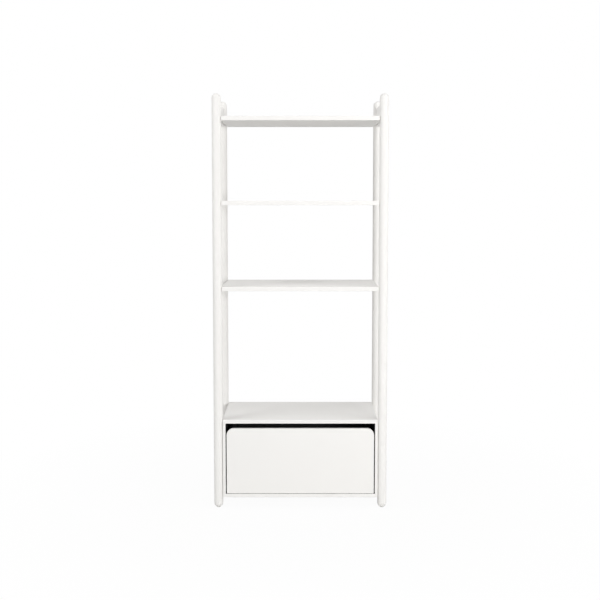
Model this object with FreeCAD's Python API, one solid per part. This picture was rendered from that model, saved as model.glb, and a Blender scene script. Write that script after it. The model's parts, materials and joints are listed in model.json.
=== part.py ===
"""Bookcase with one drawer at the bottom.

Two ladder frames of round posts carry three open shelves and a low cabinet. The drawer runs on a
pair of roller slides. The front faces -Y, +X is on the right seen from the front and +Z is up.
The origin is on the floor, midway between the four feet. All lengths are in millimetres.
"""
import FreeCAD
import Part
import math
import os
from FreeCAD import Vector

# ---- Overall ----
overall_width = 728.0
overall_depth = 350.0

# ---- Posts and their glides ----
post_diameter = 38.0
post_rise = 93.0                # from the top face of the top shelf to the top of the posts
glide_radius = 9.0
glide_thickness = 2.5
glide_chamfer = 0.6
glide_rim = 0.5                 # the foot's flat stands out past the glide by this much
glide_pin_radius = 2.5
glide_pin_length = 12.0

# ---- Shelves and boards ----
shelf_thickness = 18.0
cabinet_board = 15.0            # thickness of the cabinet's top and bottom
cabinet_side_board = 12.0       # thickness of its sides
top_bay = 329.0                 # clear heights of the three open bays
middle_bay = 338.0
lower_bay = 543.0
board_setback = 5.0             # from the front and back of the posts to the boards' edges
front_corner = 2.0              # plan radii of the boards' corners
back_corner = 10.0
edge_round = 1.5

# ---- Side rails ----
rail_thickness = 16.0
rail_height = 78.0
rail_edge = 2.5
rail_dowel_inset = 20.0         # from the rail's edges to its dowels
dowel_in_post = 14.0
dowel_in_rail = 26.0

# ---- Cabinet ----
cabinet_clear_height = 301.0
cabinet_above_floor = 44.0      # from the floor to the underside of the cabinet
side_stop = 18.0                # from the back edge of the boards to the back of the cabinet sides
back_panel = 5.0
back_panel_inset = 9.0          # from the back of the cabinet sides to the back panel
groove_depth = 5.0
groove_play = 0.1               # on each side of a panel in its groove
panel_end_play = 0.5            # from a panel's edge to the bottom of its groove
cabinet_dowels_per_end = 3
cabinet_dowel_inset = 50.0      # from the ends of a cabinet side to its outermost dowels
dowel_in_board = 10.0
dowel_in_side = 20.0

# ---- Connector bolts and barrel nuts ----
bolt_radius = 3.0
bolt_length = 60.0
bolt_head_radius = 5.0
bolt_head = 5.0
socket_width = 5.0              # across the flats
socket_depth = 3.0
bolt_sink = 8.0                 # from the outermost line of the post to the seat of the bolt head
nut_radius = 5.0
nut_cover = 2.0                 # wood left above and below a barrel nut
nut_from_end = 25.0             # from the board's end to the nut's axis

# ---- Drawer ----
drawer_front_thickness = 16.0
drawer_front_recess = 1.0
drawer_side_gap = 4.0           # between the drawer front and the cabinet sides
drawer_bottom_gap = 1.5
finger_gap = 21.0               # above the drawer front, in place of a handle
drawer_front_corner = 30.0
drawer_front_lower_corner = 2.0
finger_round = 3.0
drawer_wall = 12.0
drawer_wall_drop = 15.0         # from the top of the drawer front to the top of the walls
drawer_back_play = 8.0          # from the drawer's back to the cabinet's back panel
drawer_panel = 6.0
drawer_panel_rise = 3.4         # from the slide screws up to the bottom panel
drawer_groove = 5.0
drawer_dowel_in_side = 18.0
drawer_dowel_in_front = 10.0
drawer_joint_heights = (34.0, 129.0, 224.0)   # of dowels and screws above the lower edge of the walls

# ---- Roller slides ----
slide_space = 13.0              # between a drawer side and the cabinet side
slide_short = 3.0               # by which a slide is shorter than the drawer side
slide_lift = 5.0                # from the cabinet floor to the cabinet profile
slide_front_play = 3.0          # from the back of the drawer front to the cabinet profile
sheet = 1.2
bend_outer = 1.6
bend_inner = 0.4
slide_side_play = 1.0           # between a flange of one profile and the web of the other
slide_over_play = 1.0           # between the two top flanges
drawer_profile_lift = 0.8       # from the underside of the cabinet profile to the drawer profile's
drawer_flange_reach = 8.3       # width of the drawer profile's running flange past its web
roller_radius = 9.5
roller_play = 0.3               # between a roller and its track
roller_rim = 0.7
roller_hub_radius = 5.4
roller_dish = 0.8
roller_dish_rim = 1.9
roller_end_play = 0.2
roller_end_margin = 2.5         # from the end of its profile to the rim of a roller
pin_radius = 2.5
pin_collar_radius = 4.0
pin_collar = 1.0
pin_head_radius = 3.6
pin_head = 0.9
pin_outer_play = 1.2            # between a pin's head and the facing web
slide_hold = 70.0               # length of a slide's profiles that stays together when it is open
stop_depth = 3.5
stop_play = 0.4

# ---- Screws, dowels and fits ----
rail_dowel_radius = 4.0
dowel_radius = 3.0              # of the cabinet's and the drawer's dowels
dowel_chamfer = 0.8
dowel_end_play = 0.4
slide_screw = {"head": 3.2, "sink": 1.9, "shank": 1.6, "length": 11.0}
drawer_screw = {"head": 4.0, "sink": 2.4, "shank": 2.0, "length": 35.0}
screw_tip = 2.5
drawer_screw_places = (0.08, 0.47, 0.85)      # along the drawer profile, of its length
seat_gap = 0.1                  # between a post and the wood that meets it
hole_gap = 0.05                 # round a pin, screw, dowel or nut in its hole
bolt_hole_gap = 0.2
reach = 1.0                     # how far a cutting tool starts outside the wood

# ---- Worked out from the values above ----
post_radius = post_diameter / 2
axis_x = overall_width / 2 - post_radius
axis_y = overall_depth / 2 - post_radius
board_half_length = axis_x - post_radius - seat_gap
board_half_depth = overall_depth / 2 - board_setback
floor_top = cabinet_above_floor + cabinet_board
opening_top = floor_top + cabinet_clear_height
cabinet_top = opening_top + cabinet_board
shelf_middle_top = cabinet_top + lower_bay + shelf_thickness
shelf_upper_top = shelf_middle_top + middle_bay + shelf_thickness
shelf_top_top = shelf_upper_top + top_bay + shelf_thickness
overall_height = shelf_top_top + post_rise

# Each board: the height of its top face and its thickness.
boards = {
    "shelf_top": (shelf_top_top, shelf_thickness),
    "shelf_upper": (shelf_upper_top, shelf_thickness),
    "shelf_middle": (shelf_middle_top, shelf_thickness),
    "cabinet_top": (cabinet_top, cabinet_board),
    "cabinet_bottom": (floor_top, cabinet_board),
}
bolt_heights = [top - thickness / 2 for top, thickness in boards.values()]
rail_bottoms = {"top": shelf_top_top - shelf_thickness, "bottom": cabinet_above_floor}
rail_dowel_heights = [
    low + offset
    for low in rail_bottoms.values()
    for offset in (rail_dowel_inset, rail_height - rail_dowel_inset)
]
corners = [(side, end) for side in (-1, 1) for end in (-1, 1)]

side_inner = board_half_length - cabinet_side_board
side_back = board_half_depth - side_stop
panel_back = side_back - back_panel_inset
panel_front = panel_back - back_panel
panel_edge = groove_depth - panel_end_play

front_face = -board_half_depth + drawer_front_recess
front_back = front_face + drawer_front_thickness
front_low = floor_top + drawer_bottom_gap
front_high = opening_top - finger_gap
front_half = side_inner - drawer_side_gap
wall_outer = side_inner - slide_space
wall_inner = wall_outer - drawer_wall
wall_back = panel_front - drawer_back_play
wall_high = front_high - drawer_wall_drop

profile_low = floor_top + slide_lift
track_low = profile_low + sheet
track_high = track_low + 2 * roller_play + 2 * roller_radius
profile_high = track_high + sheet
running_flange = profile_high + slide_over_play
wall_low = profile_low + drawer_profile_lift + sheet
slide_length = wall_back - front_back - slide_short
drawer_travel = slide_length - slide_hold
profile_front = front_back + slide_front_play
drawer_profile_front = front_back + slide_side_play
drawer_profile_back = drawer_profile_front + slide_length
cabinet_web = side_inner - sheet
drawer_web = wall_outer + sheet
cabinet_flange_tip = drawer_web + slide_side_play
drawer_flange_tip = drawer_web + drawer_flange_reach
front_roller_y = profile_front + roller_radius + roller_end_margin
front_roller_z = running_flange - roller_play - roller_radius
rear_roller_y = drawer_profile_back - roller_radius - roller_end_margin
rear_roller_z = track_low + roller_play + roller_radius
panel_low = rear_roller_z + slide_screw["shank"] + drawer_panel_rise


# ---- Shapes that several pieces use ----
def box(x_span, y_span, z_span):
    """A block between a low and a high value along each axis."""
    lengths = [high - low for low, high in (x_span, y_span, z_span)]
    return Part.makeBox(*lengths, Vector(x_span[0], y_span[0], z_span[0]))


def rod(radius, start, direction, length):
    """A cylinder from a point along a direction."""
    return Part.makeCylinder(radius, length, Vector(*start), Vector(*direction))


def turned(outline, base, direction):
    """A solid turned from (radius, distance along the axis) points."""
    points = [Vector(radius, 0, distance) for radius, distance in outline]
    solid = Part.Face(Part.makePolygon(points + points[:1])).revolve(Vector(), Vector(0, 0, 1), 360)
    turn = FreeCAD.Rotation(Vector(0, 0, 1), Vector(*direction))
    solid.Placement = FreeCAD.Placement(Vector(*base), turn)
    return solid


def rounded_face(outline, place):
    """A flat face through (a, b, radius) corners. place(a, b) gives the point in space."""
    edges = []
    last = None
    first = None
    count = len(outline)
    for number, (a, b, radius) in enumerate(outline):
        corner = place(a, b)
        to_last = (place(*outline[number - 1][:2]) - corner).normalize()
        to_next = (place(*outline[(number + 1) % count][:2]) - corner).normalize()
        half_angle = to_last.getAngle(to_next) / 2
        start = corner + to_last * (radius / math.tan(half_angle))
        end = corner + to_next * (radius / math.tan(half_angle))
        if last:
            edges.append(Part.makeLine(last, start))
        if radius:
            inward = (to_last + to_next).normalize()
            middle = corner + inward * (radius / math.sin(half_angle) - radius)
            edges.append(Part.Arc(start, middle, end).toShape())
        first = first or start
        last = end
    edges.append(Part.makeLine(last, first))
    return Part.Face(Part.Wire(edges))


def filleted(shape, radius, chosen):
    """The shape with a fillet on each edge for which chosen(edge box) is true."""
    return shape.makeFillet(radius, [edge for edge in shape.Edges if chosen(edge.BoundBox)])


def cut_all(shape, tools):
    """The shape less every tool."""
    return shape.cut(Part.makeCompound(list(tools))) if tools else shape


def mirrored(shape):
    """The same piece on the left side."""
    return shape.mirror(Vector(0, 0, 0), Vector(1, 0, 0))


def dowel(radius, start, direction, length):
    """A wooden dowel with chamfered ends."""
    thin = radius - dowel_chamfer
    ends = [(0, 0), (thin, 0), (radius, dowel_chamfer)]
    outline = ends + [(radius, length - dowel_chamfer), (thin, length), (0, length)]
    return turned(outline, start, direction)


def screw(kind, base, direction, gap=0.0):
    """A countersunk screw, its head flush with base, or with a gap the hole that it fills."""
    shank = kind["shank"] + gap
    length = kind["length"] + gap
    outline = [(0, 0), (kind["head"] + gap, 0), (shank, kind["sink"])]
    outline += [(shank, length - screw_tip), (0, length)]
    return turned(outline, base, direction)


def bolt_axis(side, end, height):
    """Where a connector bolt's head seats, and its direction into the board."""
    return (side * (axis_x + post_radius - bolt_sink), end * axis_y, height), (-side, 0, 0)


def rail_hollow(side, end):
    """The tool for the hollow in a rail's end that fits round a post."""
    return rod(post_radius + seat_gap, (side * axis_x, end * axis_y, 0), (0, 0, 1), overall_height)


# ---- Side frames ----
def post_blank():
    """A round post on the origin, with a domed top and a domed foot cut flat for the glide."""
    flat = glide_radius + glide_rim
    foot_centre = glide_thickness + math.sqrt(post_radius**2 - flat**2)
    foot_angle = math.atan2(foot_centre - glide_thickness, flat) / 2
    top_centre = overall_height - post_radius
    slope = math.sqrt(0.5) * post_radius
    foot_middle = Vector(
        post_radius * math.cos(foot_angle), 0, foot_centre - post_radius * math.sin(foot_angle)
    )
    foot = Part.Arc(Vector(flat, 0, glide_thickness), foot_middle, Vector(post_radius, 0, foot_centre))
    dome = Part.Arc(
        Vector(post_radius, 0, top_centre),
        Vector(slope, 0, top_centre + slope),
        Vector(0, 0, overall_height),
    )
    edges = [
        Part.makeLine(Vector(0, 0, glide_thickness), Vector(flat, 0, glide_thickness)),
        foot.toShape(),
        Part.makeLine(Vector(post_radius, 0, foot_centre), Vector(post_radius, 0, top_centre)),
        dome.toShape(),
        Part.makeLine(Vector(0, 0, overall_height), Vector(0, 0, glide_thickness)),
    ]
    return Part.Face(Part.Wire(edges)).revolve(Vector(), Vector(0, 0, 1), 360)


def post(side, end):
    """One post, bored for its connector bolts, rail dowels and glide."""
    x = side * axis_x
    y = end * axis_y
    pin_top = glide_thickness + glide_pin_length + hole_gap
    tools = [rod(glide_pin_radius + hole_gap, (x, y, 0), (0, 0, 1), pin_top)]
    for height in bolt_heights:
        seat, inward = bolt_axis(side, end, height)
        outward = (side, 0, 0)
        tools.append(rod(bolt_radius + bolt_hole_gap, seat, inward, post_diameter))
        tools.append(rod(bolt_head_radius + bolt_hole_gap, seat, outward, bolt_sink + reach))
    hole_bottom = end * (axis_y - post_radius + dowel_in_post + dowel_end_play)
    for height in rail_dowel_heights:
        start = (x, hole_bottom, height)
        tools.append(rod(rail_dowel_radius + hole_gap, start, (0, -end, 0), dowel_in_post + post_radius))
    blank = post_blank()
    blank.translate(Vector(x, y, 0))
    return cut_all(blank, tools)


def glides():
    """The four glides, each with a pin that goes up into its post."""
    face = glide_radius - glide_chamfer
    top = glide_thickness + glide_pin_length
    outline = [(0, 0), (face, 0), (glide_radius, glide_chamfer), (glide_radius, glide_thickness)]
    outline += [(glide_pin_radius, glide_thickness), (glide_pin_radius, top), (0, top)]
    return [turned(outline, (side * axis_x, end * axis_y, 0), (0, 0, 1)) for side, end in corners]


def rail(side, low):
    """A side rail between two posts, its ends hollowed to fit them."""
    middle = side * axis_x
    half = rail_thickness / 2
    blank = box((middle - half, middle + half), (-axis_y, axis_y), (low, low + rail_height))
    blank = filleted(blank, rail_edge, lambda edge: edge.YLength > axis_y)
    holes = []
    depth = post_radius + dowel_in_rail + dowel_end_play
    for end in (-1, 1):
        for offset in (rail_dowel_inset, rail_height - rail_dowel_inset):
            start = (middle, end * axis_y, low + offset)
            holes.append(rod(rail_dowel_radius + hole_gap, start, (0, -end, 0), depth))
    return cut_all(blank, [rail_hollow(side, -1), rail_hollow(side, 1)] + holes)


def rail_dowels():
    """Two dowels at each end of each rail."""
    length = dowel_in_post + dowel_in_rail
    start_y = axis_y - post_radius + dowel_in_post
    return [
        dowel(rail_dowel_radius, (side * axis_x, end * start_y, height), (0, -end, 0), length)
        for side, end in corners
        for height in rail_dowel_heights
    ]


# ---- Boards ----
def board_blank(top, thickness):
    """A board with rounded corners and edges, whose flat ends bear on the four posts."""
    long = board_half_length
    deep = board_half_depth
    outline = [
        (-long, -deep, front_corner),
        (long, -deep, front_corner),
        (long, deep, back_corner),
        (-long, deep, back_corner),
    ]
    face = rounded_face(outline, lambda x, y: Vector(x, y, top - thickness))
    blank = face.extrude(Vector(0, 0, thickness))
    return filleted(blank, edge_round, lambda edge: edge.ZLength < edge_round)


def board(top, thickness):
    """A board bored for its four connector bolts and barrel nuts."""
    tools = []
    middle = top - thickness / 2
    for side, end in corners:
        seat, inward = bolt_axis(side, end, middle)
        nut_x = side * (board_half_length - nut_from_end)
        tools.append(rod(bolt_radius + bolt_hole_gap, seat, inward, bolt_length + reach))
        low = (nut_x, end * axis_y, top - thickness - reach)
        depth = reach + thickness - nut_cover + hole_gap
        tools.append(rod(nut_radius + hole_gap, low, (0, 0, 1), depth))
    return cut_all(board_blank(top, thickness), tools)


def connector_bolt(side, end, height):
    """A round-headed bolt with a hexagon socket."""
    seat, inward = bolt_axis(side, end, height)
    outline = [(0, -bolt_head), (bolt_head_radius, -bolt_head), (bolt_head_radius, 0), (bolt_radius, 0)]
    outline += [(bolt_radius, bolt_length), (0, bolt_length)]
    blank = turned(outline, seat, inward)
    across_corners = socket_width / 2 / math.cos(math.pi / 6)
    mouth_x = seat[0] + side * bolt_head
    hexagon = []
    for number in range(6):
        angle = number * math.pi / 3
        y = seat[1] + across_corners * math.cos(angle)
        hexagon.append(Vector(mouth_x, y, seat[2] + across_corners * math.sin(angle)))
    socket = Part.Face(Part.makePolygon(hexagon + hexagon[:1])).extrude(Vector(-side * socket_depth, 0, 0))
    return blank.cut(socket)


def barrel_nut(side, end, height, thickness):
    """A round cross nut standing in the board, with its hole in line with the bolt."""
    x = side * (board_half_length - nut_from_end)
    y = end * axis_y
    length = thickness - 2 * nut_cover
    blank = rod(nut_radius, (x, y, height - length / 2), (0, 0, 1), length)
    start = (x - 2 * nut_radius, y, height)
    return blank.cut(rod(bolt_radius + hole_gap, start, (1, 0, 0), 4 * nut_radius))


def connector_bolts():
    """Every connector bolt of the frame."""
    return [connector_bolt(side, end, height) for height in bolt_heights for side, end in corners]


def barrel_nuts():
    """Every barrel nut of the frame."""
    return [
        barrel_nut(side, end, top - thickness / 2, thickness)
        for top, thickness in boards.values()
        for side, end in corners
    ]


# ---- Cabinet ----
def cabinet_dowel_places():
    """The depths at which a cabinet side is dowelled."""
    first = -board_half_depth + cabinet_dowel_inset
    last = side_back - cabinet_dowel_inset
    step = (last - first) / (cabinet_dowels_per_end - 1)
    return [first + number * step for number in range(cabinet_dowels_per_end)]


def cabinet_dowel_tools(joint, up, depth_up, depth_down):
    """The two-way dowel holes at a joint height. up is +1 where the board lies above."""
    tools = []
    for side in (-1, 1):
        x = side * (side_inner + cabinet_side_board / 2)
        for y in cabinet_dowel_places():
            start = (x, y, joint - up * (depth_down + dowel_end_play))
            length = depth_up + depth_down + 2 * dowel_end_play
            tools.append(rod(dowel_radius + hole_gap, start, (0, 0, up), length))
    return tools


def cabinet_holes():
    """Every dowel hole of the cabinet."""
    upper = cabinet_dowel_tools(opening_top, 1, dowel_in_board, dowel_in_side)
    lower = cabinet_dowel_tools(floor_top, -1, dowel_in_board, dowel_in_side)
    return upper + lower


def cabinet_dowels():
    """The dowels that join the cabinet sides to its top and bottom."""
    length = dowel_in_board + dowel_in_side
    pieces = []
    for joint, up in ((opening_top, 1), (floor_top, -1)):
        for side in (-1, 1):
            x = side * (side_inner + cabinet_side_board / 2)
            for y in cabinet_dowel_places():
                pieces.append(dowel(dowel_radius, (x, y, joint - up * dowel_in_side), (0, 0, up), length))
    return pieces


def back_groove():
    """The groove that holds the cabinet's back panel, as one block."""
    wide = side_inner + groove_depth
    y_span = (panel_front - groove_play, panel_back + groove_play)
    return box((-wide, wide), y_span, (floor_top - groove_depth, opening_top + groove_depth))


def cabinet_board_piece(name):
    """The cabinet's top or bottom board, with its groove and dowel holes."""
    return cut_all(board(*boards[name]), [back_groove()] + cabinet_holes())


def cabinet_side():
    """The right cabinet side, grooved for the back panel and bored for dowels and screws."""
    blank = box(
        (side_inner, board_half_length), (-board_half_depth, side_back), (floor_top, opening_top)
    )
    front = -board_half_depth + edge_round
    blank = filleted(blank, edge_round, lambda edge: edge.YMax < front and edge.ZLength > edge_round)
    return cut_all(blank, [back_groove()] + cabinet_holes() + cabinet_profile_screws(hole_gap))


def cabinet_back():
    """The back panel, held in grooves on all four sides."""
    wide = side_inner + panel_edge
    return box((-wide, wide), (panel_front, panel_back), (floor_top - panel_edge, opening_top + panel_edge))


# ---- Roller slides, right side ----
def cabinet_profile_screws(gap=0.0):
    """The screws that hold the right cabinet profile between the dowels, or the holes for them."""
    dowels = cabinet_dowel_places()
    return [
        screw(slide_screw, (cabinet_web, (before + after) / 2, rear_roller_z), (1, 0, 0), gap)
        for before, after in zip(dowels, dowels[1:])
    ]


def drawer_profile_screws(gap=0.0):
    """The screws that hold the right drawer profile, or the holes for them."""
    places = [drawer_profile_front + share * slide_length for share in drawer_screw_places]
    return [screw(slide_screw, (drawer_web, y, rear_roller_z), (-1, 0, 0), gap) for y in places]


def stop_half_chord(height):
    """Half the width of a rear roller at a height above or below its axis."""
    return math.sqrt(roller_radius**2 - height**2)


def stop_tabs():
    """The tabs bent from the cabinet profile that stop the rear roller at both ends of its travel."""
    x_span = (cabinet_flange_tip + sheet, cabinet_web - sheet)
    chord = stop_half_chord(track_high - stop_depth - rear_roller_z)
    open_face = rear_roller_y - drawer_travel - chord - stop_play
    closed_face = rear_roller_y + chord + stop_play
    open_tab = box(x_span, (open_face - sheet, open_face), (track_high - stop_depth, track_high))
    closed_tab = box(x_span, (closed_face, closed_face + sheet), (track_low, track_low + stop_depth))
    return [open_tab, closed_tab]


def slide_cabinet():
    """The channel on the cabinet side, its upper flange cut back round the front roller."""
    tip = cabinet_flange_tip
    outline = [
        (tip, profile_low, 0),
        (side_inner, profile_low, bend_outer),
        (side_inner, profile_high, bend_outer),
        (tip, profile_high, 0),
        (tip, track_high, 0),
        (cabinet_web, track_high, bend_inner),
        (cabinet_web, track_low, bend_inner),
        (tip, track_low, 0),
    ]
    face = rounded_face(outline, lambda x, z: Vector(x, profile_front, z))
    channel = face.extrude(Vector(0, slide_length, 0)).fuse(stop_tabs()).removeSplitter()
    notch_back = front_roller_y + roller_radius + 2 * roller_play
    notch_heights = (track_high - stop_depth, running_flange)
    notch = box((tip - reach, cabinet_web), (profile_front - reach, notch_back), notch_heights)
    pin_start = (side_inner + reach, front_roller_y, front_roller_z)
    pin_hole = rod(pin_radius + hole_gap, pin_start, (-1, 0, 0), 2 * reach + sheet)
    return cut_all(channel, [notch, pin_hole] + cabinet_profile_screws(hole_gap))


def slide_drawer():
    """The angle under the drawer side, with the flange that runs on the front roller."""
    low = wall_low - sheet
    outline = [
        (wall_inner, low, 0),
        (drawer_web, low, bend_outer),
        (drawer_web, running_flange, bend_inner),
        (drawer_flange_tip, running_flange, 0),
        (drawer_flange_tip, running_flange + sheet, 0),
        (wall_outer, running_flange + sheet, bend_outer),
        (wall_outer, wall_low, bend_inner),
        (wall_inner, wall_low, 0),
    ]
    face = rounded_face(outline, lambda x, z: Vector(x, drawer_profile_front, z))
    angle = face.extrude(Vector(0, slide_length, 0))
    pin_start = (wall_outer - reach, rear_roller_y, rear_roller_z)
    pin_hole = rod(pin_radius + hole_gap, pin_start, (1, 0, 0), 2 * reach + sheet)
    return cut_all(angle, [pin_hole] + drawer_profile_screws(hole_gap))


def roller_pin(web_face, y, z, toward):
    """A riveted pin: flush in the web at web_face, with a collar, a journal and a head."""
    collar_end = sheet + pin_collar
    head_start = slide_space - sheet - pin_outer_play - pin_head
    head_end = head_start + pin_head
    outline = [
        (0, 0),
        (pin_radius, 0),
        (pin_radius, sheet),
        (pin_collar_radius, sheet),
        (pin_collar_radius, collar_end),
        (pin_radius, collar_end),
        (pin_radius, head_start),
        (pin_head_radius, head_start),
        (pin_head_radius, head_end),
        (0, head_end),
    ]
    return turned(outline, (web_face, y, z), (toward, 0, 0))


def roller(web_face, y, z, toward):
    """A nylon roller with a dished face, free to turn on its pin between collar and head."""
    near = sheet + pin_collar + roller_end_play
    far = slide_space - sheet - pin_outer_play - pin_head - roller_end_play
    bore = pin_radius + hole_gap
    outer = roller_radius
    dish = roller_radius - roller_dish_rim
    outline = [
        (bore, near),
        (roller_hub_radius, near),
        (roller_hub_radius, near + roller_dish),
        (dish, near + roller_dish),
        (dish, near),
        (outer - roller_rim, near),
        (outer, near + roller_rim),
        (outer, far - roller_rim),
        (outer - roller_rim, far),
        (dish, far),
        (dish, far - roller_dish),
        (roller_hub_radius, far - roller_dish),
        (roller_hub_radius, far),
        (bore, far),
    ]
    return turned(outline, (web_face, y, z), (toward, 0, 0))


# ---- Drawer ----
def drawer_panel_groove():
    """The groove that holds the drawer's bottom panel, as one block."""
    wide = wall_inner + drawer_groove
    y_span = (front_back - drawer_groove, wall_back - drawer_wall + drawer_groove)
    z_span = (panel_low - groove_play, panel_low + drawer_panel + groove_play)
    return box((-wide, wide), y_span, z_span)


def drawer_front():
    """The drawer front, with large upper corners and a rounded edge for the fingers."""
    outline = [
        (-front_half, front_low, drawer_front_lower_corner),
        (front_half, front_low, drawer_front_lower_corner),
        (front_half, front_high, drawer_front_corner),
        (-front_half, front_high, drawer_front_corner),
    ]
    face = rounded_face(outline, lambda x, z: Vector(x, front_face, z))
    blank = face.extrude(Vector(0, drawer_front_thickness, 0))
    blank = filleted(blank, edge_round, lambda edge: edge.YMax < front_face + reach)
    blank = filleted(
        blank, finger_round, lambda edge: edge.YMin > front_back - reach and edge.ZMin > front_high - reach
    )
    return cut_all(blank, [drawer_panel_groove()] + drawer_dowel_holes())


def drawer_joints(x, y):
    """The points (x, y) on both drawer sides at every joint height, with the side of each."""
    return [
        (side, (side * x, y, wall_low + height)) for side in (-1, 1) for height in drawer_joint_heights
    ]


def drawer_dowel_holes():
    """The holes for the dowels between the drawer sides and the front."""
    length = drawer_dowel_in_front + drawer_dowel_in_side + 2 * dowel_end_play
    start_y = front_back - drawer_dowel_in_front - dowel_end_play
    starts = drawer_joints(wall_outer - drawer_wall / 2, start_y)
    return [rod(dowel_radius + hole_gap, start, (0, 1, 0), length) for side, start in starts]


def drawer_dowels():
    """The dowels between the drawer sides and the front."""
    length = drawer_dowel_in_front + drawer_dowel_in_side
    starts = drawer_joints(wall_outer - drawer_wall / 2, front_back - drawer_dowel_in_front)
    return [dowel(dowel_radius, start, (0, 1, 0), length) for side, start in starts]


def drawer_back_screws(gap=0.0):
    """The screws through the drawer sides into the back, or the holes for them."""
    heads = drawer_joints(wall_outer, wall_back - drawer_wall / 2)
    return [screw(drawer_screw, head, (-side, 0, 0), gap) for side, head in heads]


def drawer_side():
    """The right drawer side, grooved for the bottom panel."""
    blank = box((wall_inner, wall_outer), (front_back, wall_back), (wall_low, wall_high))
    blank = filleted(blank, edge_round, lambda edge: edge.YLength > edge_round)
    holes = drawer_dowel_holes() + drawer_back_screws(hole_gap) + drawer_profile_screws(hole_gap)
    return cut_all(blank, [drawer_panel_groove()] + holes)


def drawer_back():
    """The drawer back, between the sides."""
    y_span = (wall_back - drawer_wall, wall_back)
    blank = box((-wall_inner, wall_inner), y_span, (wall_low, wall_high))
    blank = filleted(
        blank, edge_round, lambda edge: edge.XLength > wall_inner and edge.ZMin > wall_high - reach
    )
    return cut_all(blank, [drawer_panel_groove()] + drawer_back_screws(hole_gap))


def drawer_bottom():
    """The drawer's bottom panel, held in grooves on all four sides."""
    edge = drawer_groove - panel_end_play
    wide = wall_inner + edge
    y_span = (front_back - edge, wall_back - drawer_wall + edge)
    return box((-wide, wide), y_span, (panel_low, panel_low + drawer_panel))


# ---- The pieces by name ----
def both_sides(name, right):
    """A left and a right piece from the right one."""
    return {name + "_right": right, name + "_left": mirrored(right)}


def all_pieces():
    """Every node of the bookcase."""
    pieces = {}
    for side, end in corners:
        name = "post_" + ("front" if end < 0 else "back") + ("_left" if side < 0 else "_right")
        pieces[name] = post(side, end)
    pieces["foot_glides"] = glides()
    for name, low in rail_bottoms.items():
        pieces.update(both_sides("rail_" + name, rail(1, low)))
    pieces["rail_dowels"] = rail_dowels()
    for name in ("shelf_top", "shelf_upper", "shelf_middle"):
        pieces[name] = board(*boards[name])
    for name in ("cabinet_top", "cabinet_bottom"):
        pieces[name] = cabinet_board_piece(name)
    pieces.update(both_sides("cabinet_side", cabinet_side()))
    pieces["cabinet_back"] = cabinet_back()
    pieces["cabinet_dowels"] = cabinet_dowels()
    pieces["connector_bolts"] = connector_bolts()
    pieces["barrel_nuts"] = barrel_nuts()
    pieces.update(both_sides("slide_cabinet", slide_cabinet()))
    pieces.update(both_sides("roller_front", roller(side_inner, front_roller_y, front_roller_z, -1)))
    pieces.update(both_sides("roller_rear", roller(wall_outer, rear_roller_y, rear_roller_z, 1)))
    front_pin = roller_pin(side_inner, front_roller_y, front_roller_z, -1)
    rear_pin = roller_pin(wall_outer, rear_roller_y, rear_roller_z, 1)
    pieces["roller_pins_front"] = [front_pin, mirrored(front_pin)]
    pieces["roller_pins_rear"] = [rear_pin, mirrored(rear_pin)]
    screws = cabinet_profile_screws()
    pieces["slide_screws_cabinet"] = screws + [mirrored(piece) for piece in screws]
    screws = drawer_profile_screws()
    pieces["slide_screws_drawer"] = screws + [mirrored(piece) for piece in screws]
    pieces["drawer_front"] = drawer_front()
    pieces.update(both_sides("drawer_side", drawer_side()))
    pieces["drawer_back"] = drawer_back()
    pieces["drawer_bottom"] = drawer_bottom()
    pieces["drawer_dowels"] = drawer_dowels()
    pieces["drawer_screws"] = drawer_back_screws()
    pieces.update(both_sides("slide_drawer", slide_drawer()))
    return pieces


os.makedirs("parts", exist_ok=True)
for node, piece in all_pieces().items():
    shape = Part.makeCompound(piece) if isinstance(piece, list) else piece
    shape.exportStep("parts/" + node + ".step")
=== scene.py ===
"""Looks of a white lacquered bookcase with one wide drawer at the bottom.

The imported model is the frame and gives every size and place. The pieces that show most are modelled
again here, rounder and with finer edges, and every piece gets its own procedural finish.
"""

from __future__ import annotations

import json
import logging
import math
from dataclasses import dataclass, field
from enum import Enum
from typing import Callable, Iterable, Sequence

import bmesh
import bpy
from mathutils import Matrix, Vector


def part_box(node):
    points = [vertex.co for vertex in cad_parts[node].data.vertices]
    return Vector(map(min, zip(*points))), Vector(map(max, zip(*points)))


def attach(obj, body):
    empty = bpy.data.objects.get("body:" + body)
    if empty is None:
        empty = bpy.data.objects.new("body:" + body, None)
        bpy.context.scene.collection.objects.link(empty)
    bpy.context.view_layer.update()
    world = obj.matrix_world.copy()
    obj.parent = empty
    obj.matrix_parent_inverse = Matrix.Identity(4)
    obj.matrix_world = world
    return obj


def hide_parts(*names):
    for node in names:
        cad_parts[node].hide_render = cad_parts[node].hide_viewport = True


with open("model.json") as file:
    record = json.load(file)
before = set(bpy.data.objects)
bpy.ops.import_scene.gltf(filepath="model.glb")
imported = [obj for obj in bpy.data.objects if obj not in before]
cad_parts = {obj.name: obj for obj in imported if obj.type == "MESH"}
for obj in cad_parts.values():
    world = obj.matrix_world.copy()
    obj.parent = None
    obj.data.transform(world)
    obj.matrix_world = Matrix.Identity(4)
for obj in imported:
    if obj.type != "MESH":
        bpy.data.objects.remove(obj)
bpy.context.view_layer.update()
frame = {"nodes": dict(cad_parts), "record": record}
LOG = logging.getLogger("bookcase")

MM = 0.001
SIDES = ("left", "right")
ENDS = ("front", "back")
SHARP_ANGLE = math.radians(32)
EVEN = (1, 1, 1)
WHITE = (1, 1, 1, 1)
SAME_PLACE = 0.02 * MM
WELD = 0.002 * MM


class Axis(Enum):
    """The direction in which a grain runs."""

    X = 0
    Y = 1
    Z = 2


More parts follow.
